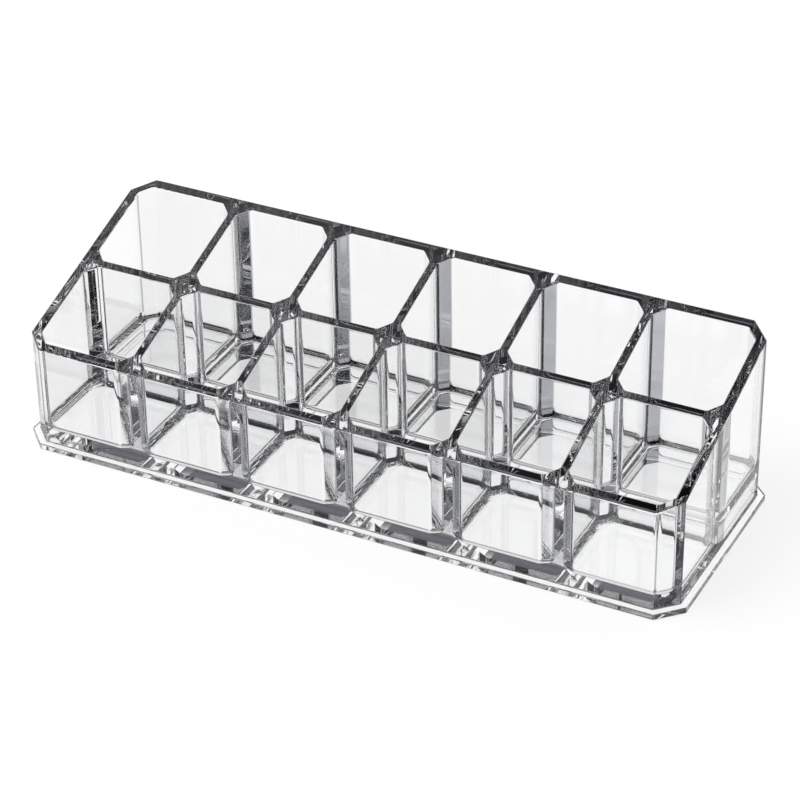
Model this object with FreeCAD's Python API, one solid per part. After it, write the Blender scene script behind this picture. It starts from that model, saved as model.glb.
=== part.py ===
import FreeCAD, Part
import os

# Vanity organizer: a clear acrylic box with two rows of open wells under one sloping rim.
# Cut panels, posts and floor plates are bonded face to face and stand on a flanged base plate.
# Millimetres. +X to the right, +Y to the back, +Z up, origin at the centre of the underside.

# Wells
columns = 6
well_width = 27.4
well_depth = 26.9
well_corner_leg = 3.0

# Walls
outer_wall = 2.8
outer_corner_leg = 5.2
divider_thickness = 2.3
middle_thickness = 2.4

# Base plate
base_thickness = 1.7
flange_width = 1.8
flange_corner_leg = 6.1

# Heights above the underside
front_height = 29.6
back_height = 49.2
front_floor_top = 4.0
back_floor_top = 9.7

# Raised floor plates
back_floor_thickness = 2.3

# Plan of the box
pitch = well_width + divider_thickness
row_offset = (well_depth + middle_thickness) / 2
inner_x = (columns * well_width + (columns - 1) * divider_thickness) / 2
inner_y = well_depth + middle_thickness / 2
outer_x = inner_x + outer_wall
outer_y = inner_y + outer_wall
half_divider = divider_thickness / 2
half_middle = middle_thickness / 2
flat_half_width = well_width / 2 - well_corner_leg
post_x = half_divider + well_corner_leg
post_y = half_middle + well_corner_leg

left_right = (("left", -1), ("right", 1))
front_back = (("front", -1), ("back", 1))


def well_x(column):
    return (column - (columns + 1) / 2) * pitch


def divider_x(divider):
    return (divider - columns / 2) * pitch


def rim_height(y):
    return front_height + (back_height - front_height) * (y + outer_y) / (2 * outer_y)


def face_of(points):
    return Part.Face(Part.makePolygon(points + points[:1]))


def plate(outline, bottom, top):
    """Flat plate with the given plan outline."""
    points = [FreeCAD.Vector(x, y, bottom) for x, y in outline]
    return face_of(points).extrude(FreeCAD.Vector(0, 0, top - bottom))


def upright(outline):
    """Panel or post that stands on the base plate and ends in the sloping rim."""
    low = [FreeCAD.Vector(x, y, base_thickness) for x, y in outline]
    high = [FreeCAD.Vector(x, y, rim_height(y)) for x, y in outline]
    faces = [face_of(low), face_of(high)]
    for index in range(len(outline)):
        faces.append(face_of([low[index - 1], low[index], high[index], high[index - 1]]))
    solid = Part.Solid(Part.Shell(faces))
    if solid.Volume < 0:
        solid.reverse()
    return solid


def rectangle(x, y, half_x, half_y):
    return [
        (x - half_x, y - half_y),
        (x + half_x, y - half_y),
        (x + half_x, y + half_y),
        (x - half_x, y + half_y),
    ]


def cornered(x, y, half_x, half_y, leg):
    """Rectangle with all four corners cut off at 45 degrees."""
    return [
        (x - half_x + leg, y - half_y),
        (x + half_x - leg, y - half_y),
        (x + half_x, y - half_y + leg),
        (x + half_x, y + half_y - leg),
        (x + half_x - leg, y + half_y),
        (x - half_x + leg, y + half_y),
        (x - half_x, y + half_y - leg),
        (x - half_x, y - half_y + leg),
    ]


def make_base_plate():
    outline = cornered(0, 0, outer_x + flange_width, outer_y + flange_width, flange_corner_leg)
    return plate(outline, 0, base_thickness)


def make_long_wall(side):
    """Front or back wall, mitred to the corner panels."""
    outer_end = outer_x - outer_corner_leg
    inner_end = inner_x - well_corner_leg
    return upright([
        (-outer_end, side * outer_y),
        (outer_end, side * outer_y),
        (inner_end, side * inner_y),
        (-inner_end, side * inner_y),
    ])


def make_end_wall(side):
    """Left or right wall, mitred to the corner panels."""
    outer_end = outer_y - outer_corner_leg
    inner_end = inner_y - well_corner_leg
    return upright([
        (side * outer_x, -outer_end),
        (side * outer_x, outer_end),
        (side * inner_x, inner_end),
        (side * inner_x, -inner_end),
    ])


def make_corner_panel(side_x, side_y):
    """Narrow slanting panel that joins an end wall to a long wall."""
    return upright([
        (side_x * (outer_x - outer_corner_leg), side_y * outer_y),
        (side_x * outer_x, side_y * (outer_y - outer_corner_leg)),
        (side_x * inner_x, side_y * (inner_y - well_corner_leg)),
        (side_x * (inner_x - well_corner_leg), side_y * inner_y),
    ])


def make_middle_panel(column):
    return upright(rectangle(well_x(column), 0, flat_half_width, half_middle))


def make_divider(divider, side):
    half_length = well_depth / 2 - well_corner_leg
    return upright(rectangle(divider_x(divider), side * row_offset, half_divider, half_length))


def make_crossing_post(divider):
    return upright(cornered(divider_x(divider), 0, post_x, post_y, well_corner_leg))


def make_wall_post(divider, side):
    """Post that joins a divider to the front or back wall."""
    x = divider_x(divider)
    return upright([
        (x - post_x, side * inner_y),
        (x + post_x, side * inner_y),
        (x + half_divider, side * (inner_y - well_corner_leg)),
        (x - half_divider, side * (inner_y - well_corner_leg)),
    ])


def make_end_post(side):
    """Post that joins the middle wall to the left or right wall."""
    return upright([
        (side * inner_x, -post_y),
        (side * inner_x, post_y),
        (side * (inner_x - well_corner_leg), half_middle),
        (side * (inner_x - well_corner_leg), -half_middle),
    ])


def make_floor(column, side, bottom, top):
    outline = cornered(well_x(column), side * row_offset, well_width / 2, well_depth / 2, well_corner_leg)
    return plate(outline, bottom, top)


pieces = {"base_plate": make_base_plate()}
for row, side_y in front_back:
    pieces[row + "_wall"] = make_long_wall(side_y)
    for end, side_x in left_right:
        pieces[row + "_" + end + "_corner_panel"] = make_corner_panel(side_x, side_y)
for end, side_x in left_right:
    pieces[end + "_wall"] = make_end_wall(side_x)
    pieces[end + "_post"] = make_end_post(side_x)
for column in range(1, columns + 1):
    pieces["middle_panel_%d" % column] = make_middle_panel(column)
    pieces["front_floor_%d" % column] = make_floor(column, -1, base_thickness, front_floor_top)
    pieces["back_floor_%d" % column] = make_floor(
        column, 1, back_floor_top - back_floor_thickness, back_floor_top)
for divider in range(1, columns):
    pieces["crossing_post_%d" % divider] = make_crossing_post(divider)
    for row, side_y in front_back:
        pieces["%s_divider_%d" % (row, divider)] = make_divider(divider, side_y)
        pieces["%s_post_%d" % (row, divider)] = make_wall_post(divider, side_y)

os.makedirs("parts", exist_ok=True)
for name, shape in pieces.items():
    shape.exportStep("parts/" + name + ".step")
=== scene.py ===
"""Vanity organizer in clear plastic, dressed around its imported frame.

Wells and hollows are cut out of one clear blank with rounded corners, rounded rims and coved floors. Each
panel, post and plate is the part of that blank inside its own cell. The faces where two pieces are bonded let
light pass, as clear cement does, so all the pieces together bend light like one block.
"""

import math

import bpy
from bpy.props import FloatProperty, FloatVectorProperty, IntProperty, PointerProperty
from mathutils import Matrix, Vector


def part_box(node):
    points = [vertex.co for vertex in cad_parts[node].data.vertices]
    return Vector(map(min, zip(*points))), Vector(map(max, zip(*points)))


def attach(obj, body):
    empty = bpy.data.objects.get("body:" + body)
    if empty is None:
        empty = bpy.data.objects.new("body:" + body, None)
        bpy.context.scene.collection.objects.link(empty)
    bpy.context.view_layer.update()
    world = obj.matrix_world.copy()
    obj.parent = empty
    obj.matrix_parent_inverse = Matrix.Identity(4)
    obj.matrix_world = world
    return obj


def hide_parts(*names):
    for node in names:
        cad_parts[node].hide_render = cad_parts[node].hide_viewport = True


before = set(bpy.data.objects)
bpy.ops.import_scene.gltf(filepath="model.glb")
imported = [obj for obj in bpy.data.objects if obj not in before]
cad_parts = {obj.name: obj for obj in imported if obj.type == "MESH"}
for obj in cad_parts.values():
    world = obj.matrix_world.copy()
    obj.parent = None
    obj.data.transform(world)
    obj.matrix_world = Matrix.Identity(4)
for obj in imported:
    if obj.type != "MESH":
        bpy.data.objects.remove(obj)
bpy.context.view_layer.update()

bl_info = {
    "name": "Vanity Organizer",
    "version": (1, 0, 0),
    "blender": (4, 5, 0),
    "location": "3D View > Sidebar > Organizer",
    "description": "Builds a clear vanity organizer from bonded panels, posts and floors",
    "category": "Object",
}

BODY = "root"
BLANK = "clear_blank"
SKIN = "skin_normal"
MM = 0.001
QUARTER_TURN = math.pi / 2
WHITE = (1, 1, 1)

# Plan and heights, read from the frame
COLUMNS = sum(name.startswith("front_floor_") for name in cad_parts)
FLANGE_X, FLANGE_Y, BASE_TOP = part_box("base_plate")[1]
OUTER_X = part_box("right_wall")[1].x
OUTER_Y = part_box("back_wall")[1].y
INNER_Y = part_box("back_wall")[0].y
WELL_LOW, WELL_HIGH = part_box("back_floor_1")
WELL_WIDTH = WELL_HIGH.x - WELL_LOW.x
WELL_DEPTH = WELL_HIGH.y - WELL_LOW.y
HALF_DIVIDER = (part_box("back_floor_2")[0].x - WELL_HIGH.x) / 2
PITCH = WELL_WIDTH + 2 * HALF_DIVIDER
ROW_OFFSET = (WELL_LOW.y + WELL_HIGH.y) / 2
WELL_LEG = INNER_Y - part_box("back_divider_1")[1].y
OUTER_LEG = OUTER_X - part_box("back_wall")[1].x
BACK_EDGE = [v.co.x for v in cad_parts["base_plate"].data.vertices if v.co.y > FLANGE_Y - WELL_LEG]
FLANGE_LEG = FLANGE_X - max(BACK_EDGE)
FRONT_FLOOR_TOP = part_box("front_floor_1")[1].z
BACK_FLOOR_BOTTOM = WELL_LOW.z
BACK_FLOOR_TOP = WELL_HIGH.z
BACK_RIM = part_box("back_wall")[1].z
RIM_SLOPE = (BACK_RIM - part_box("front_wall")[1].z) / (OUTER_Y + INNER_Y)
RIM_UP = Vector((0, -RIM_SLOPE, 1)).normalized()

FRONT_BACK = (("front", -1), ("back", 1))

# Corners of a cut-cornered outline, each named by a side and an end of that side
FRONT_LEFT, FRONT_RIGHT, RIGHT_FRONT, RIGHT_BACK, BACK_RIGHT, BACK_LEFT, LEFT_BACK, LEFT_FRONT = range(8)


# Sizes, finish, painted foot shade and stage that a user can change

class EdgeSettings(bpy.types.PropertyGroup):
    """Rounded edges of the clear pieces and the fit of their bonded faces."""

    rim_rounding: FloatProperty(
        name="Rim Rounding", description="Radius along the top edges of the walls",
        default=0.4 * MM, unit="LENGTH")
    cove_radius: FloatProperty(
        name="Floor Cove", description="Radius where a well's floor turns up into its walls",
        default=2.5 * MM, unit="LENGTH")
    corner_rounding: FloatProperty(
        name="Well Corners", description="Radius along the upright edges inside a well",
        default=1.5 * MM, unit="LENGTH")
    corner_spread: FloatProperty(
        name="Corner Spread", description="Growth of the corner radius per length that a cove reaches in",
        default=0.4)
    outer_rounding: FloatProperty(
        name="Outer Corners", description="Radius along the upright edges outside",
        default=0.8 * MM, unit="LENGTH")
    hollow_rounding: FloatProperty(
        name="Hollow Rounding", description="Radius along the top of the hollows under the raised floors",
        default=1.5 * MM, unit="LENGTH")
    flange_rounding: FloatProperty(
        name="Flange Rounding", description="Radius along the edges of the base plate",
        default=0.3 * MM, unit="LENGTH")
    foot_fillet: FloatProperty(
        name="Foot Fillet", description="Radius where the outer walls meet the base plate",
        default=0.3 * MM, unit="LENGTH")
    curve_steps: IntProperty(
        name="Curve Steps", description="Flat steps in a rounded edge", default=8, min=2, max=24)
    bond_offset: FloatProperty(
        name="Bond Offset", description="How far bonded faces stand off the open faces beside them",
        default=0.15 * MM, unit="LENGTH")
    seam_lift: FloatProperty(
        name="Seam Lift", description="Height of the bond above the base plate's open top",
        default=0.02 * MM, unit="LENGTH")
    cell_reach: FloatProperty(
        name="Cell Reach", description="How far a piece's cell reaches past its open outer faces",
        default=2.0 * MM, unit="LENGTH")


class PlasticSettings(bpy.types.PropertyGroup):
    """Finish of the clear plastic and the shade painted into its foot."""

    tint: FloatVectorProperty(
        name="Tint", description="Colour of light that has passed through a surface",
        default=(0.996, 0.998, 1.0), subtype="COLOR", min=0, max=1)
    refraction: FloatProperty(
        name="Refractive Index", description="How strongly the plastic bends light", default=1.558)
    ripple_size: FloatProperty(
        name="Ripple Size", description="Distance between the faint waves of the surface",
        default=6.0 * MM, unit="LENGTH")
    ripple_height: FloatProperty(
        name="Ripple Height", description="Height of the faint waves of the surface",
        default=0.003 * MM, unit="LENGTH")
    # Painted shade in the foot: the next four settings give its near-black colour, the share of light that
    # each inner reflection there keeps, and the heights where it ends.
    foot_shade_color: FloatVectorProperty(
        name="Painted Foot Shade", description="Colour of light lost in the thick foot",
        default=(0.01, 0.01, 0.015), subtype="COLOR", min=0, max=1)
    foot_shade_kept: FloatProperty(
        name="Foot Shade Kept", description="Share of the light that each reflection in the foot keeps",
        default=0.58)
    foot_shade_height: FloatProperty(
        name="Foot Shade Height", description="Height up to which the foot swallows light",
        default=5.0 * MM, unit="LENGTH")
    foot_shade_blend: FloatProperty(
        name="Foot Shade Blend", description="Height over which that effect ends", default=3.0 * MM, unit="LENGTH")


class StageSettings(bpy.types.PropertyGroup):
    """Pale floor, studio surroundings and the camera."""

    floor_color: FloatVectorProperty(
        name="Floor Colour", description="Colour of the floor in diffuse light",
        default=(0.9, 0.9, 0.9), subtype="COLOR", min=0, max=1)
    floor_size: FloatProperty(
        name="Floor Size", description="Side of the square floor", default=6.0, unit="LENGTH")
    floor_gap: FloatProperty(
        name="Floor Gap", description="Gap between the floor and the underside",
        default=0.075 * MM, unit="LENGTH")
    floor_glow: FloatProperty(
        name="Floor Glow", description="Share of plain white in the floor that the camera sees", default=0.85)
    lamp_power: FloatProperty(
        name="Lamp Power", description="Power of the soft lamp above the floor", default=15.0, unit="POWER")
    lamp_size: FloatProperty(
        name="Lamp Size", description="Side of the soft lamp", default=0.8, unit="LENGTH")
    lamp_place: FloatVectorProperty(
        name="Lamp Place", description="Middle of the soft lamp",
        default=(-0.45, -0.35, 1.05), subtype="TRANSLATION")
    back_width: FloatProperty(
        name="Back Wall", description="Half angle of the white wall behind",
        default=math.radians(60), subtype="ANGLE")
    front_width: FloatProperty(
        name="Front", description="Half angle of the grey front", default=math.radians(65), subtype="ANGLE")
    front_level: FloatProperty(
        name="Front Level", description="Brightness of the table in front", default=0.8)
    side_level: FloatProperty(
        name="Side Level", description="Brightness of the table at the sides", default=0.55)
    upper_level: FloatProperty(
        name="Room Level", description="Brightness of the room above the table", default=0.02)
    ceiling_level: FloatProperty(name="Ceiling Level", description="Brightness of the ceiling", default=0.01)
    ceiling_angle: FloatProperty(
        name="Ceiling", description="Height at which the dark ceiling begins",
        default=math.radians(60), subtype="ANGLE")
    floor_angle: FloatProperty(
        name="Floor", description="Depth below which all directions are white",
        default=math.radians(48), subtype="ANGLE")
    horizon: FloatProperty(
        name="Table Edge", description="Depth at which the table ends and the room begins",
        default=math.radians(4), subtype="ANGLE")
    card_turn: FloatProperty(
        name="Card Turn", description="Direction of the dark card, from the back to the left",
        default=math.radians(130), subtype="ANGLE")
    card_width: FloatProperty(
        name="Card Width", description="Half width of the dark card",
        default=math.radians(26), subtype="ANGLE")
    card_level: FloatProperty(
        name="Card Level", description="Share of the light that the dark card leaves",
        default=0.05)
    card_depth: FloatProperty(
        name="Card Depth", description="Depth of the middle of the dark card",
        default=math.radians(32), subtype="ANGLE")
    card_height: FloatProperty(
        name="Card Height", description="Half height of the dark card",
        default=math.radians(9), subtype="ANGLE")
    card_blend: FloatProperty(
        name="Card Edge", description="Half width of the dark card's soft edge",
        default=math.radians(2), subtype="ANGLE")
    box_turn: FloatProperty(
        name="Softbox Turn", description="Direction of the softbox, from the back to the left",
        default=math.radians(64), subtype="ANGLE")
    box_width: FloatProperty(
        name="Softbox Width", description="Half width of the softbox",
        default=math.radians(12), subtype="ANGLE")
    box_lift: FloatProperty(
        name="Softbox Lift", description="Height of the middle of the softbox",
        default=math.radians(42), subtype="ANGLE")
    box_height: FloatProperty(
        name="Softbox Height", description="Half height of the softbox",
        default=math.radians(8), subtype="ANGLE")
    shade_color: FloatVectorProperty(
        name="Shade Colour", description="Cool colour of the dim parts of the room",
        default=(0.84, 0.88, 1.0), subtype="COLOR", min=0, max=1)
    mirror_level: FloatProperty(
        name="Mirror Level", description="Brightness that outer reflections see at least", default=0.6)
    mirror_angle: FloatProperty(
        name="Mirror Top", description="Height up to which outer reflections see that brightness",
        default=math.radians(48), subtype="ANGLE")
    blend: FloatProperty(
        name="Blend", description="Half width of each change of brightness",
        default=math.radians(6), subtype="ANGLE")
    azimuth: FloatProperty(
        name="Camera Azimuth", description="Turn of the camera about the object",
        default=math.radians(27.12), subtype="ANGLE")
    elevation: FloatProperty(
        name="Camera Elevation", description="Height of the camera above the horizon",
        default=math.radians(32.52), subtype="ANGLE")
    roll: FloatProperty(
        name="Camera Roll", description="Turn of the picture", default=math.radians(-0.91), subtype="ANGLE")
    distance: FloatProperty(
        name="Camera Distance", description="Distance from the aim point", default=747.8 * MM, unit="LENGTH")
    aim: FloatVectorProperty(
        name="Aim Point", description="Point in the middle of the picture",
        default=(2.698 * MM, 0, 20.806 * MM), subtype="TRANSLATION")
    lens: FloatProperty(
        name="Lens", description="Focal length in millimetres on a 36 mm sensor", default=132.185)
    glossy_bounces: IntProperty(
        name="Reflections", description="How many reflections inside the plastic are followed", default=16)
    refraction_bounces: IntProperty(
        name="Refractions", description="How many refractions are followed", default=32)
    joint_bounces: IntProperty(
        name="Joint Crossings", description="How many bonded joints a ray may cross", default=64)


# Outlines and rings of points

def rim_height(y):
    """Height of the sloping rim at a place between front and back."""
    return BACK_RIM - RIM_SLOPE * (OUTER_Y - y)


def cornered(x, y, half_x, half_y, leg):
    """Counter-clockwise rectangle with its corners cut off, from the left end of its front side."""
    return [
        (x - half_x + leg, y - half_y),
        (x + half_x - leg, y - half_y),
        (x + half_x, y - half_y + leg),
        (x + half_x, y + half_y - leg),
        (x + half_x - leg, y + half_y),
        (x - half_x + leg, y + half_y),
        (x - half_x, y + half_y - leg),
        (x - half_x, y - half_y + leg),
    ]


def rectangle(half_x, half_y):
    """Counter-clockwise rectangle about the middle."""
    return [(-half_x, -half_y), (half_x, -half_y), (half_x, half_y), (-half_x, half_y)]


def turns_of(outline):
    """Corners (x, y, heading, turn) of a counter-clockwise outline, with the heading before each corner."""
    for index, (x, y) in enumerate(outline):
        (before_x, before_y), (after_x, after_y) = outline[index - 1], outline[(index + 1) % len(outline)]
        heading = math.atan2(y - before_y, x - before_x)
        yield x, y, heading, (math.atan2(after_y - y, after_x - x) - heading) % math.tau


def grown(outline, distance):
    """Convex counter-clockwise outline with each side moved outward."""
    points = []
    for x, y, heading, turn in turns_of(outline):
        reach = distance / math.cos(turn / 2)
        outward = heading + turn / 2 - QUARTER_TURN
        points.append((x + reach * math.cos(outward), y + reach * math.sin(outward)))
    return points


def rounded(outline, radius, steps):
    """Points (x, y, angle) along a convex counter-clockwise outline with round corners and outward angles."""
    points = []
    for x, y, heading, turn in turns_of(outline):
        run = radius * math.tan(turn / 2)
        start_x, start_y = x - run * math.cos(heading), y - run * math.sin(heading)
        centre_x, centre_y = start_x - radius * math.sin(heading), start_y + radius * math.cos(heading)
        for step in range(steps + 1):
            angle = heading - QUARTER_TURN + turn * step / steps
            points.append((centre_x + radius * math.cos(angle), centre_y + radius * math.sin(angle), angle))
    return points


def quarter_round(radius, steps):
    """Triples (left, gone, turn) along a rounded edge: length left of one leg and gone of the other."""
    turns = [QUARTER_TURN * step / steps for step in range(steps + 1)]
    return [(radius * (1 - math.sin(turn)), radius * (1 - math.cos(turn)), turn) for turn in turns]


def level(points, z, tilt):
    """Level ring of points with their normals, tilted up from the horizon."""
    out, up = math.cos(tilt), math.sin(tilt)
    return [((x, y, z), (out * math.cos(angle), out * math.sin(angle), up)) for x, y, angle in points]


def below_rim(points, depth, tilt):
    """Ring of points at a depth under the sloping rim, with their normals tilted towards the rim's own."""
    ring = []
    for x, y, angle in points:
        out = Vector((math.cos(angle), math.sin(angle), 0))
        normal = (out * math.cos(tilt) + RIM_UP * math.sin(tilt)).normalized()
        ring.append(((x, y, rim_height(y) - depth), normal))
    return ring


# Meshes

def stacked_faces(count, rings):
    """Faces of a closed skin over rings of the same number of points, with a cap at each end."""
    faces = [tuple(reversed(range(count)))]
    for start in range(0, count * (rings - 1), count):
        for index in range(count):
            after = (index + 1) % count
            faces.append((start + index, start + after, start + count + after, start + count + index))
    faces.append(tuple(range(count * (rings - 1), count * rings)))
    return faces


def add_object(name, points, faces, material):
    """Object in the scene with a mesh of its own."""
    mesh = bpy.data.meshes.new(name)
    mesh.from_pydata(points, [], faces)
    mesh.materials.append(material)
    piece = bpy.data.objects.new(name, mesh)
    bpy.context.scene.collection.objects.link(piece)
    return piece


def loft(name, rings, material):
    """Closed skin through rings of points, from the lowest up, that remembers the normals of its sides."""
    points = [point for ring in rings for point, normal in ring]
    normals = [normal for ring in rings for point, normal in ring]
    piece = add_object(name, points, stacked_faces(len(rings[0]), len(rings)), material)
    skin = piece.data.attributes.new(SKIN, "FLOAT_VECTOR", "CORNER")
    for side in piece.data.polygons[1:-1]:
        for corner, point in zip(side.loop_indices, side.vertices):
            skin.data[corner].vector = normals[point]
    return piece


def prism(name, outline, bottom, top, material):
    """Upright block over an outline."""
    points = [(x, y, z) for z in (bottom, top) for x, y in outline]
    return add_object(name, points, stacked_faces(len(outline), 2), material)


# Node trees

def add_node(tree, kind, **settings):
    """Node of a kind with its settings."""
    node = tree.nodes.new(kind)
    for name, value in settings.items():
        setattr(node, name, value)
    return node


def math_node(tree, operation, *values):
    """Math node fed with numbers or other nodes' outputs."""
    node = add_node(tree, "ShaderNodeMath", operation=operation)
    for socket, value in zip(node.inputs, values):
        if isinstance(value, (int, float)):
            socket.default_value = value
        else:
            tree.links.new(value, socket)
    return node.outputs["Value"]


def ramp(tree, value, start, end, low=0.0, high=1.0):
    """Goes from low where the value is at start to high where it is at end."""
    node = add_node(tree, "ShaderNodeMapRange")
    node.inputs["From Min"].default_value = start
    node.inputs["From Max"].default_value = end
    node.inputs["To Min"].default_value = low
    node.inputs["To Max"].default_value = high
    tree.links.new(value, node.inputs["Value"])
    return node.outputs["Result"]


def color_mix(tree, factor, low, high):
    """Goes from the low colour to the high one with the factor."""
    node = add_node(tree, "ShaderNodeMix", data_type="RGBA")
    ends = [socket for socket in node.inputs if socket.type == "RGBA"]
    for socket, color in zip(ends, (low, high)):
        socket.default_value = (*color, 1)
    tree.links.new(factor, node.inputs["Factor"])
    return next(socket for socket in node.outputs if socket.type == "RGBA")


def new_tree(name, sockets):
    """Geometry node tree with a geometry in and out and the named inputs."""
    tree = bpy.data.node_groups.new(name, "GeometryNodeTree")
    tree.interface.new_socket("Geometry", in_out="INPUT", socket_type="NodeSocketGeometry")
    for label, kind in sockets.items():
        tree.interface.new_socket(label, in_out="INPUT", socket_type="NodeSocket" + kind)
    tree.interface.new_socket("Geometry", in_out="OUTPUT", socket_type="NodeSocketGeometry")
    return tree, add_node(tree, "NodeGroupInput"), add_node(tree, "NodeGroupOutput")


def object_geometry(tree, source, label):
    """Geometry of the object given to a named input."""
    info = add_node(tree, "GeometryNodeObjectInfo")
    tree.links.new(source.outputs[label], info.inputs["Object"])
    return info.outputs["Geometry"]


def finish_tree(tree, source, result, geometry):
    """Ends a tree in Realize Instances and Set Material."""
    realize = add_node(tree, "GeometryNodeRealizeInstances")
    chosen = add_node(tree, "GeometryNodeMaterialSelection")
    paint = add_node(tree, "GeometryNodeSetMaterial")
    tree.links.new(geometry, realize.inputs["Geometry"])
    tree.links.new(realize.outputs["Geometry"], paint.inputs["Geometry"])
    tree.links.new(source.outputs["Material"], chosen.inputs["Material"])
    tree.links.new(chosen.outputs["Selection"], paint.inputs["Selection"])
    tree.links.new(source.outputs["Material"], paint.inputs["Material"])
    tree.links.new(paint.outputs["Geometry"], result.inputs["Geometry"])


def rows_tree():
    """Cuts rows of evenly spaced wells and hollows out of a block."""
    found = bpy.data.node_groups.get("Cut Rows")
    if found:
        return found
    tools = ("Front Well", "Back Well", "Hollow")
    sockets = {label: "Object" for label in tools}
    sockets.update({"Columns": "Int", "Pitch": "Float", "Material": "Material"})
    tree, source, result = new_tree("Cut Rows", sockets)
    # The first column stands this many steps from the middle of its row
    steps_to_first = math_node(tree, "MULTIPLY_ADD", source.outputs["Columns"], -0.5, 0.5)
    start = math_node(tree, "MULTIPLY", steps_to_first, source.outputs["Pitch"])
    start_point = add_node(tree, "ShaderNodeCombineXYZ")
    step = add_node(tree, "ShaderNodeCombineXYZ")
    line = add_node(tree, "GeometryNodeMeshLine")
    cut = add_node(tree, "GeometryNodeMeshBoolean", operation="DIFFERENCE", solver="EXACT")
    tree.links.new(start, start_point.inputs["X"])
    tree.links.new(source.outputs["Pitch"], step.inputs["X"])
    tree.links.new(source.outputs["Columns"], line.inputs["Count"])
    tree.links.new(start_point.outputs["Vector"], line.inputs["Start Location"])
    tree.links.new(step.outputs["Vector"], line.inputs["Offset"])
    tree.links.new(source.outputs["Geometry"], cut.inputs["Mesh 1"])
    for label in tools:
        row = add_node(tree, "GeometryNodeInstanceOnPoints")
        solid = add_node(tree, "GeometryNodeRealizeInstances")
        tree.links.new(line.outputs["Mesh"], row.inputs["Points"])
        tree.links.new(object_geometry(tree, source, label), row.inputs["Instance"])
        tree.links.new(row.outputs["Instances"], solid.inputs["Geometry"])
        tree.links.new(solid.outputs["Geometry"], cut.inputs["Mesh 2"])
    finish_tree(tree, source, result, cut.outputs["Mesh"])
    return tree


def cell_tree():
    """Keeps the part of the blank that lies inside a cell."""
    found = bpy.data.node_groups.get("Keep Cell")
    if found:
        return found
    tree, source, result = new_tree("Keep Cell", {"Blank": "Object", "Material": "Material"})
    keep = add_node(tree, "GeometryNodeMeshBoolean", operation="INTERSECT", solver="EXACT")
    tree.links.new(object_geometry(tree, source, "Blank"), keep.inputs["Mesh 2"])
    tree.links.new(source.outputs["Geometry"], keep.inputs["Mesh 2"])
    finish_tree(tree, source, result, keep.outputs["Mesh"])
    return tree


def apply_tree(piece, tree, values):
    """Runs a tree on a piece with the named input values and keeps the result as its plain mesh."""
    modifier = piece.modifiers.new(tree.name, "NODES")
    modifier.node_group = tree
    for item in tree.interface.items_tree:
        if item.in_out == "INPUT" and item.name in values:
            modifier[item.identifier] = values[item.name]
    evaluated = piece.evaluated_get(bpy.context.evaluated_depsgraph_get())
    mesh = bpy.data.meshes.new_from_object(evaluated)
    mesh.name = piece.name
    piece.modifiers.clear()
    piece.data = mesh


def smooth_skin(mesh):
    """Gives rounded faces the smooth normals of the forms they were cut from, and bonded faces their own."""
    skin = mesh.attributes[SKIN]
    normals = []
    for face in mesh.polygons:
        for corner in face.loop_indices:
            normal = Vector(skin.data[corner].vector)
            side = normal.dot(face.normal)
            normals.append(normal * math.copysign(1, side) if side else face.normal)
    mesh.attributes.remove(skin)
    mesh.shade_smooth()
    mesh.normals_split_custom_set(normals)


# Materials of the pieces

def clear_plastic(settings):
    """Polished clear plastic with faint waves, and painted shade in its foot: below the foot height each
    inner reflection darkens the base colour further towards near black.
    """
    found = bpy.data.materials.get("clear_plastic")
    if found:
        return found
    material = bpy.data.materials.new("clear_plastic")
    material.use_nodes = True
    tree = material.node_tree
    place = add_node(tree, "ShaderNodeTexCoord")
    parts = add_node(tree, "ShaderNodeSeparateXYZ")
    path = add_node(tree, "ShaderNodeLightPath")
    # Painted shade in the foot: below the set height the base colour darkens towards near black with each
    # inner reflection, and it fades out over the blend above.
    foot_shade_end = settings.foot_shade_height + settings.foot_shade_blend
    unshaded_per_reflection = ramp(tree, parts.outputs["Z"], settings.foot_shade_height, foot_shade_end, low=settings.foot_shade_kept)
    unshaded_share = math_node(tree, "POWER", unshaded_per_reflection, path.outputs["Glossy Depth"])
    color = color_mix(tree, unshaded_share, settings.foot_shade_color, settings.tint)
    noise = add_node(tree, "ShaderNodeTexNoise")
    noise.inputs["Scale"].default_value = 1 / settings.ripple_size
    noise.inputs["Detail"].default_value = 0
    ripple = add_node(tree, "ShaderNodeBump")
    ripple.inputs["Distance"].default_value = settings.ripple_height
    shader = tree.nodes["Principled BSDF"]
    shader.inputs["Roughness"].default_value = 0
    shader.inputs["IOR"].default_value = settings.refraction
    shader.inputs["Transmission Weight"].default_value = 1
    tree.links.new(place.outputs["Object"], parts.inputs["Vector"])
    tree.links.new(place.outputs["Object"], noise.inputs["Vector"])
    tree.links.new(noise.outputs["Fac"], ripple.inputs["Height"])
    tree.links.new(ripple.outputs["Normal"], shader.inputs["Normal"])
    tree.links.new(color, shader.inputs["Base Color"])
    return material


def clear_bond():
    """Clear cement between two pieces: light passes it as if the pieces were one."""
    found = bpy.data.materials.get("clear_bond")
    if found:
        return found
    material = bpy.data.materials.new("clear_bond")
    material.use_nodes = True
    material.node_tree.nodes["Principled BSDF"].inputs["Alpha"].default_value = 0
    return material


# Forms of the blank and cells of the pieces

def well_rings(y, floor, edges):
    """Rings of a well's inside: up its coved floor, its upright walls and its flared rim."""
    outline = cornered(0, y, WELL_WIDTH / 2, WELL_DEPTH / 2, WELL_LEG)
    steps = edges.curve_steps
    rings = []
    for inset, lift, turn in quarter_round(edges.cove_radius, steps):
        corners = edges.corner_rounding + edges.corner_spread * inset
        points = rounded(grown(outline, -inset), corners, steps)
        rings.append(level(points, floor + lift, turn - QUARTER_TURN))
    for depth, flare, turn in quarter_round(edges.rim_rounding, steps):
        rings.append(below_rim(rounded(grown(outline, flare), edges.corner_rounding, steps), depth, -turn))
    mouth = rounded(grown(outline, edges.rim_rounding), edges.corner_rounding, steps)
    rings.append(below_rim(mouth, -edges.cell_reach, 0))
    return rings


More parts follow.
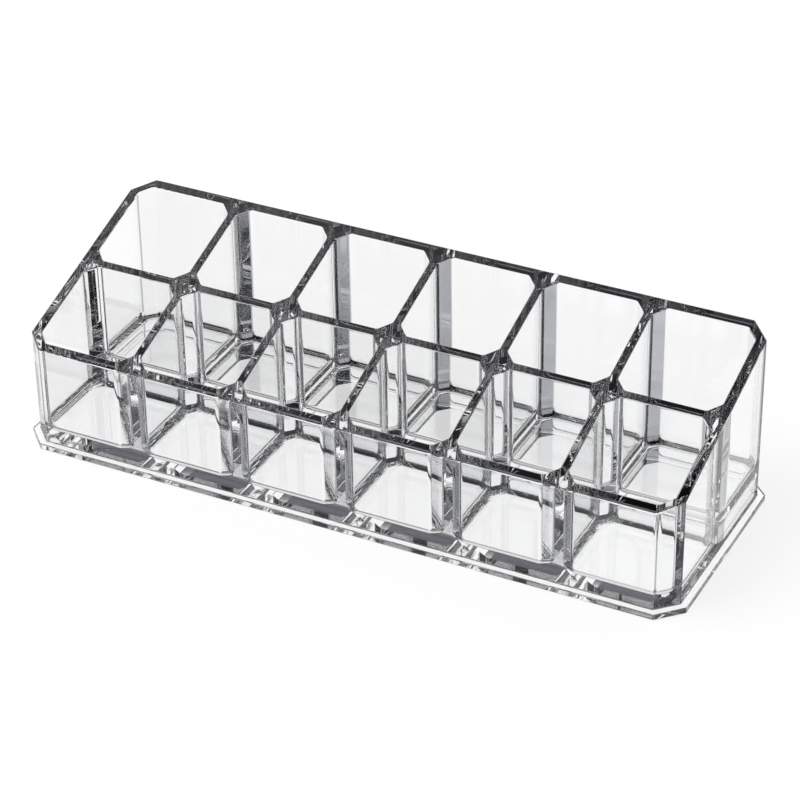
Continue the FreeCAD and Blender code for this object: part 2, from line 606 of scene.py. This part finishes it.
def hollow_rings(edges):
    """Rings of the closed space under a raised floor."""
    outline = cornered(0, ROW_OFFSET, WELL_WIDTH / 2, WELL_DEPTH / 2, WELL_LEG)
    steps = edges.curve_steps
    rings = [level(rounded(outline, edges.corner_rounding, steps), BASE_TOP, 0)]
    for drop, inset, turn in quarter_round(edges.hollow_rounding, steps):
        corners = edges.corner_rounding + edges.corner_spread * inset
        rings.append(level(rounded(grown(outline, -inset), corners, steps), BACK_FLOOR_BOTTOM - drop, turn))
    return rings


def block_rings(edges):
    """Rings of the whole outside: flange, foot fillet, outer walls and rim."""
    steps = edges.curve_steps
    outer = cornered(0, 0, OUTER_X, OUTER_Y, OUTER_LEG)
    flange = cornered(0, 0, FLANGE_X, FLANGE_Y, FLANGE_LEG)

    def around(outline, distance):
        return rounded(grown(outline, distance), edges.outer_rounding, steps)

    rings = []
    for inset, lift, turn in quarter_round(edges.flange_rounding, steps):
        rings.append(level(around(flange, -inset), lift, turn - QUARTER_TURN))
    for drop, inset, turn in quarter_round(edges.flange_rounding, steps):
        rings.append(level(around(flange, -inset), BASE_TOP - drop, turn))
    for spread, lift, turn in quarter_round(edges.foot_fillet, steps):
        rings.append(level(around(outer, spread), BASE_TOP + lift, QUARTER_TURN - turn))
    for drop, inset, turn in quarter_round(edges.rim_rounding, steps):
        rings.append(below_rim(around(outer, -inset), drop, turn))
    return rings


def well_cell(edges, column, side):
    """Corners of a well's own cell, which stands off its walls by the bond offset."""
    x = (column - (COLUMNS + 1) / 2) * PITCH
    return grown(cornered(x, side * ROW_OFFSET, WELL_WIDTH / 2, WELL_DEPTH / 2, WELL_LEG), -edges.bond_offset)


def beyond(inner, outer, reach):
    """Point past the outer end of a joint line."""
    line = Vector(outer) - Vector(inner)
    return tuple(Vector(outer) + line.normalized() * reach)


def cut_piece(context, node, outline, bottom=None, top=None):
    """Makes the clear piece that stands for a CAD node: the part of the blank inside the node's cell."""
    edges = context.scene.organizer_edges
    low = BASE_TOP + edges.seam_lift if bottom is None else bottom
    high = BACK_RIM + edges.cell_reach if top is None else top
    piece = prism(node + "_clear", outline, low, high, clear_bond())
    plastic = clear_plastic(context.scene.organizer_plastic)
    apply_tree(piece, cell_tree(), {"Blank": bpy.data.objects[BLANK], "Material": plastic})
    if not piece.data.polygons:
        raise RuntimeError("nothing of the blank lies in the cell of " + node)
    smooth_skin(piece.data)
    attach(piece, BODY)
    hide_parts(node)


# Steps that make the pieces

class MakeBlank(bpy.types.Operator):
    """Make the clear blank that the pieces are cut from"""

    bl_idname = "organizer.make_blank"
    bl_label = "Clear Blank"

    def execute(self, context):
        edges = context.scene.organizer_edges
        plastic = clear_plastic(context.scene.organizer_plastic)
        blank = loft(BLANK, block_rings(edges), plastic)
        tools = {
            "Front Well": loft("front_well", well_rings(-ROW_OFFSET, FRONT_FLOOR_TOP, edges), plastic),
            "Back Well": loft("back_well", well_rings(ROW_OFFSET, BACK_FLOOR_TOP, edges), plastic),
            "Hollow": loft("hollow", hollow_rings(edges), plastic),
        }
        apply_tree(blank, rows_tree(), {**tools, "Columns": COLUMNS, "Pitch": PITCH, "Material": plastic})
        for tool in tools.values():
            bpy.data.objects.remove(tool)
        return {"FINISHED"}


class MakeBasePlate(bpy.types.Operator):
    """Make the flanged base plate"""

    bl_idname = "organizer.make_base_plate"
    bl_label = "Base Plate"

    def execute(self, context):
        edges = context.scene.organizer_edges
        reach = edges.cell_reach
        cut_piece(context, "base_plate", rectangle(FLANGE_X + reach, FLANGE_Y + reach), -reach,
                  BASE_TOP + edges.seam_lift)
        return {"FINISHED"}


class MakeOuterWalls(bpy.types.Operator):
    """Make the four outer walls and the slanting corner panels between them"""

    bl_idname = "organizer.make_outer_walls"
    bl_label = "Outer Walls"

    def execute(self, context):
        edges = context.scene.organizer_edges
        first_front, last_front = well_cell(edges, 1, -1), well_cell(edges, COLUMNS, -1)
        first_back, last_back = well_cell(edges, 1, 1), well_cell(edges, COLUMNS, 1)
        inner = [
            first_front[FRONT_LEFT], last_front[FRONT_RIGHT], last_front[RIGHT_FRONT], last_back[RIGHT_BACK],
            last_back[BACK_RIGHT], first_back[BACK_LEFT], first_back[LEFT_BACK], first_front[LEFT_FRONT]]
        outer = cornered(0, 0, OUTER_X, OUTER_Y, OUTER_LEG)
        ends = [beyond(a, b, edges.cell_reach) for a, b in zip(inner, outer)]
        names = ("front_wall", "front_right_corner_panel", "right_wall", "back_right_corner_panel",
                 "back_wall", "back_left_corner_panel", "left_wall", "front_left_corner_panel")
        for index, name in enumerate(names):
            after = (index + 1) % len(names)
            cut_piece(context, name, [inner[index], ends[index], ends[after], inner[after]])
        return {"FINISHED"}


class MakeMiddleWall(bpy.types.Operator):
    """Make the panels of the wall between the two rows and the posts at its ends"""

    bl_idname = "organizer.make_middle_wall"
    bl_label = "Middle Wall"

    def execute(self, context):
        edges = context.scene.organizer_edges
        for column in range(1, COLUMNS + 1):
            front, back = well_cell(edges, column, -1), well_cell(edges, column, 1)
            cut_piece(context, "middle_panel_%d" % column, [
                front[BACK_LEFT], front[BACK_RIGHT], back[FRONT_RIGHT], back[FRONT_LEFT]])
            if column == 1:
                cut_piece(context, "left_post", [
                    front[BACK_LEFT], back[FRONT_LEFT], back[LEFT_FRONT], front[LEFT_BACK]])
            if column == COLUMNS:
                cut_piece(context, "right_post", [
                    front[RIGHT_BACK], back[RIGHT_FRONT], back[FRONT_RIGHT], front[BACK_RIGHT]])
        return {"FINISHED"}


class MakeDividers(bpy.types.Operator):
    """Make the dividers between neighbouring wells"""

    bl_idname = "organizer.make_dividers"
    bl_label = "Dividers"

    def execute(self, context):
        edges = context.scene.organizer_edges
        for row, side in FRONT_BACK:
            for divider in range(1, COLUMNS):
                left, right = well_cell(edges, divider, side), well_cell(edges, divider + 1, side)
                cut_piece(context, "%s_divider_%d" % (row, divider), [
                    left[RIGHT_FRONT], right[LEFT_FRONT], right[LEFT_BACK], left[RIGHT_BACK]])
        return {"FINISHED"}


class MakePosts(bpy.types.Operator):
    """Make the posts where the dividers cross the middle wall and meet the front and back walls"""

    bl_idname = "organizer.make_posts"
    bl_label = "Posts"

    def execute(self, context):
        edges = context.scene.organizer_edges
        for divider in range(1, COLUMNS):
            left_front, right_front = (well_cell(edges, column, -1) for column in (divider, divider + 1))
            left_back, right_back = (well_cell(edges, column, 1) for column in (divider, divider + 1))
            cut_piece(context, "crossing_post_%d" % divider, [
                left_front[RIGHT_BACK], right_front[LEFT_BACK], right_front[BACK_LEFT],
                right_back[FRONT_LEFT], right_back[LEFT_FRONT], left_back[RIGHT_FRONT],
                left_back[FRONT_RIGHT], left_front[BACK_RIGHT]])
            cut_piece(context, "front_post_%d" % divider, [
                left_front[FRONT_RIGHT], right_front[FRONT_LEFT], right_front[LEFT_FRONT],
                left_front[RIGHT_FRONT]])
            cut_piece(context, "back_post_%d" % divider, [
                left_back[RIGHT_BACK], right_back[LEFT_BACK], right_back[BACK_LEFT], left_back[BACK_RIGHT]])
        return {"FINISHED"}


class MakeFloors(bpy.types.Operator):
    """Make the coved floor plates of the wells"""

    bl_idname = "organizer.make_floors"
    bl_label = "Floors"

    def execute(self, context):
        edges = context.scene.organizer_edges
        for row, side in FRONT_BACK:
            for column in range(1, COLUMNS + 1):
                cut_piece(context, "%s_floor_%d" % (row, column), well_cell(edges, column, side))
        return {"FINISHED"}


# Stage

def pale_floor(settings):
    """Pale floor, nearly white in the picture, with the object's faint shadow."""
    material = bpy.data.materials.new("pale_floor")
    material.use_nodes = True
    tree = material.node_tree
    shader = tree.nodes["Principled BSDF"]
    shader.inputs["Base Color"].default_value = (*settings.floor_color, 1)
    path = add_node(tree, "ShaderNodeLightPath")
    white = add_node(tree, "ShaderNodeEmission")
    mix = add_node(tree, "ShaderNodeMixShader")
    glow = math_node(tree, "MULTIPLY", path.outputs["Is Camera Ray"], settings.floor_glow)
    tree.links.new(glow, mix.inputs[0])
    tree.links.new(shader.outputs[0], mix.inputs[1])
    tree.links.new(white.outputs[0], mix.inputs[2])
    tree.links.new(mix.outputs[0], tree.nodes["Material Output"].inputs["Surface"])
    return material


def patch(tree, heading, height, turn, half_turn, lift, half_lift, soft):
    """Mask of a soft-edged patch of directions about a turn and a lift."""
    aside = math_node(tree, "ABSOLUTE", math_node(tree, "SUBTRACT", heading, turn))
    above = math_node(tree, "ABSOLUTE", math_node(tree, "SUBTRACT", height, lift))
    across = ramp(tree, aside, half_turn + soft, half_turn - soft)
    upright = ramp(tree, above, half_lift + soft, half_lift - soft)
    return math_node(tree, "MULTIPLY", across, upright)


def studio_world(settings):
    """White wall behind, grey table, dim room with a softbox and a dark card, dark ceiling, white below.

    Only light that has been reflected sees the dark card.
    """
    world = bpy.data.worlds.new("studio")
    world.use_nodes = True
    tree = world.node_tree
    blend = settings.blend
    direction = add_node(tree, "ShaderNodeTexCoord")
    parts = add_node(tree, "ShaderNodeSeparateXYZ")
    tree.links.new(direction.outputs["Generated"], parts.inputs["Vector"])
    height = math_node(tree, "ARCSINE", parts.outputs["Z"])
    heading = math_node(tree, "ARCTAN2", parts.outputs["X"], parts.outputs["Y"])
    turn = math_node(tree, "ABSOLUTE", heading)
    back = ramp(tree, turn, settings.back_width + blend, settings.back_width - blend)
    front_edge = math.pi - settings.front_width
    front = ramp(tree, turn, front_edge - blend, front_edge + blend, high=settings.front_level)
    on_table = ramp(tree, height, blend - settings.horizon, -blend - settings.horizon)
    table = math_node(tree, "MULTIPLY", math_node(tree, "MAXIMUM", front, settings.side_level), on_table)
    around = math_node(tree, "MAXIMUM", math_node(tree, "MAXIMUM", back, table), settings.upper_level)
    lower = ramp(tree, height, settings.ceiling_angle + blend, settings.ceiling_angle - blend)
    lit = math_node(tree, "MAXIMUM", math_node(tree, "MULTIPLY", around, lower), settings.ceiling_level)
    path = add_node(tree, "ShaderNodeLightPath")
    soft = settings.card_blend
    card = patch(tree, heading, height, -settings.card_turn, settings.card_width, -settings.card_depth,
                 settings.card_height, soft)
    box = patch(tree, heading, height, -settings.box_turn, settings.box_width, settings.box_lift,
                settings.box_height, soft)
    reflected = math_node(tree, "MINIMUM", path.outputs["Glossy Depth"], 1)
    seen_card = math_node(tree, "MULTIPLY", card, reflected)
    shaded = math_node(tree, "MULTIPLY_ADD", seen_card, settings.card_level - 1, 1)
    room = math_node(tree, "MAXIMUM", math_node(tree, "MULTIPLY", lit, shaded), box)
    below = ramp(tree, height, blend - settings.floor_angle, -blend - settings.floor_angle)
    mirror_top = settings.mirror_angle
    mirror = ramp(tree, height, mirror_top + blend, mirror_top - blend, high=settings.mirror_level)
    mirrored = math_node(tree, "MULTIPLY", path.outputs["Is Reflection Ray"], mirror)
    seen = math_node(tree, "MAXIMUM", math_node(tree, "MAXIMUM", room, below), mirrored)
    picture = math_node(tree, "MAXIMUM", seen, path.outputs["Is Camera Ray"])
    background = tree.nodes["Background"]
    tree.links.new(color_mix(tree, picture, settings.shade_color, WHITE), background.inputs["Color"])
    tree.links.new(picture, background.inputs["Strength"])
    return world


def soft_lamp(settings):
    """Large lamp that lights the floor. The clear plastic shows the studio around it and not the lamp."""
    lamp = bpy.data.objects.new("soft_lamp", bpy.data.lights.new("soft_lamp", "AREA"))
    lamp.data.energy = settings.lamp_power
    lamp.data.size = settings.lamp_size
    place = Vector(settings.lamp_place)
    lamp.matrix_world = Matrix.Translation(place) @ place.to_track_quat("Z", "Y").to_matrix().to_4x4()
    lamp.visible_glossy = False
    lamp.visible_transmission = False
    bpy.context.scene.collection.objects.link(lamp)


def make_camera(settings):
    """Camera that looks at the aim point from the place of the photograph."""
    azimuth, elevation, roll = settings.azimuth, settings.elevation, settings.roll
    level_out = math.cos(elevation)
    back = Vector((math.sin(azimuth) * level_out, -math.cos(azimuth) * level_out, math.sin(elevation)))
    across = Vector((math.cos(azimuth), math.sin(azimuth), 0))
    up = back.cross(across)
    right = math.cos(roll) * across + math.sin(roll) * up
    axes = Matrix((right, back.cross(right), back)).transposed()
    camera = bpy.data.objects.new("camera", bpy.data.cameras.new("camera"))
    camera.matrix_world = Matrix.Translation(Vector(settings.aim) + back * settings.distance) @ axes.to_4x4()
    camera.data.lens = settings.lens
    camera.data.clip_start = settings.distance / 10
    camera.data.clip_end = settings.floor_size * 2
    bpy.context.scene.collection.objects.link(camera)
    return camera


class MakeStage(bpy.types.Operator):
    """Make the pale floor, the soft lamp, the studio surroundings and the camera"""

    bl_idname = "organizer.make_stage"
    bl_label = "Stage"

    def execute(self, context):
        settings = context.scene.organizer_stage
        scene = context.scene
        half = settings.floor_size / 2
        corners = [(x, y, -settings.floor_gap) for x, y in rectangle(half, half)]
        floor = add_object("floor", corners, [(0, 1, 2, 3)], pale_floor(settings))
        floor.visible_glossy = False
        floor.visible_transmission = False
        soft_lamp(settings)
        scene.world = studio_world(settings)
        scene.camera = make_camera(settings)
        scene.view_settings.view_transform = "Standard"
        scene.cycles.glossy_bounces = settings.glossy_bounces
        scene.cycles.transmission_bounces = settings.refraction_bounces
        scene.cycles.max_bounces = settings.glossy_bounces + settings.refraction_bounces
        scene.cycles.transparent_max_bounces = settings.joint_bounces
        return {"FINISHED"}


# Panel and registration

class OrganizerPanel(bpy.types.Panel):
    """Sidebar panel with the sizes, the finish and the steps"""

    bl_idname = "VIEW3D_PT_organizer"
    bl_label = "Vanity Organizer"
    bl_space_type = "VIEW_3D"
    bl_region_type = "UI"
    bl_category = "Organizer"

    def draw(self, context):
        # Sidebar panel with the sizes, the finish with its painted foot shade, and the steps
        for group in SETTINGS:
            box = self.layout.box()
            values = getattr(context.scene, group)
            for name in values.__annotations__:
                box.prop(values, name)
        for step in STEPS:
            self.layout.operator(step.bl_idname)


SETTINGS = {
    "organizer_edges": EdgeSettings,
    "organizer_plastic": PlasticSettings,
    "organizer_stage": StageSettings,
}
STEPS = (
    MakeBlank,
    MakeBasePlate,
    MakeOuterWalls,
    MakeMiddleWall,
    MakeDividers,
    MakePosts,
    MakeFloors,
    MakeStage,
)


def register():
    for cls in (*SETTINGS.values(), *STEPS, OrganizerPanel):
        bpy.utils.register_class(cls)
    for group, cls in SETTINGS.items():
        setattr(bpy.types.Scene, group, PointerProperty(type=cls))


def unregister():
    for group in SETTINGS:
        delattr(bpy.types.Scene, group)
    for cls in (OrganizerPanel, *reversed(STEPS), *SETTINGS.values()):
        bpy.utils.unregister_class(cls)


def main():
    register()
    for step in STEPS:
        group, name = step.bl_idname.split(".")
        getattr(getattr(bpy.ops, group), name)()
    bpy.data.objects.remove(bpy.data.objects[BLANK])


if __name__ == "__main__":
    main()
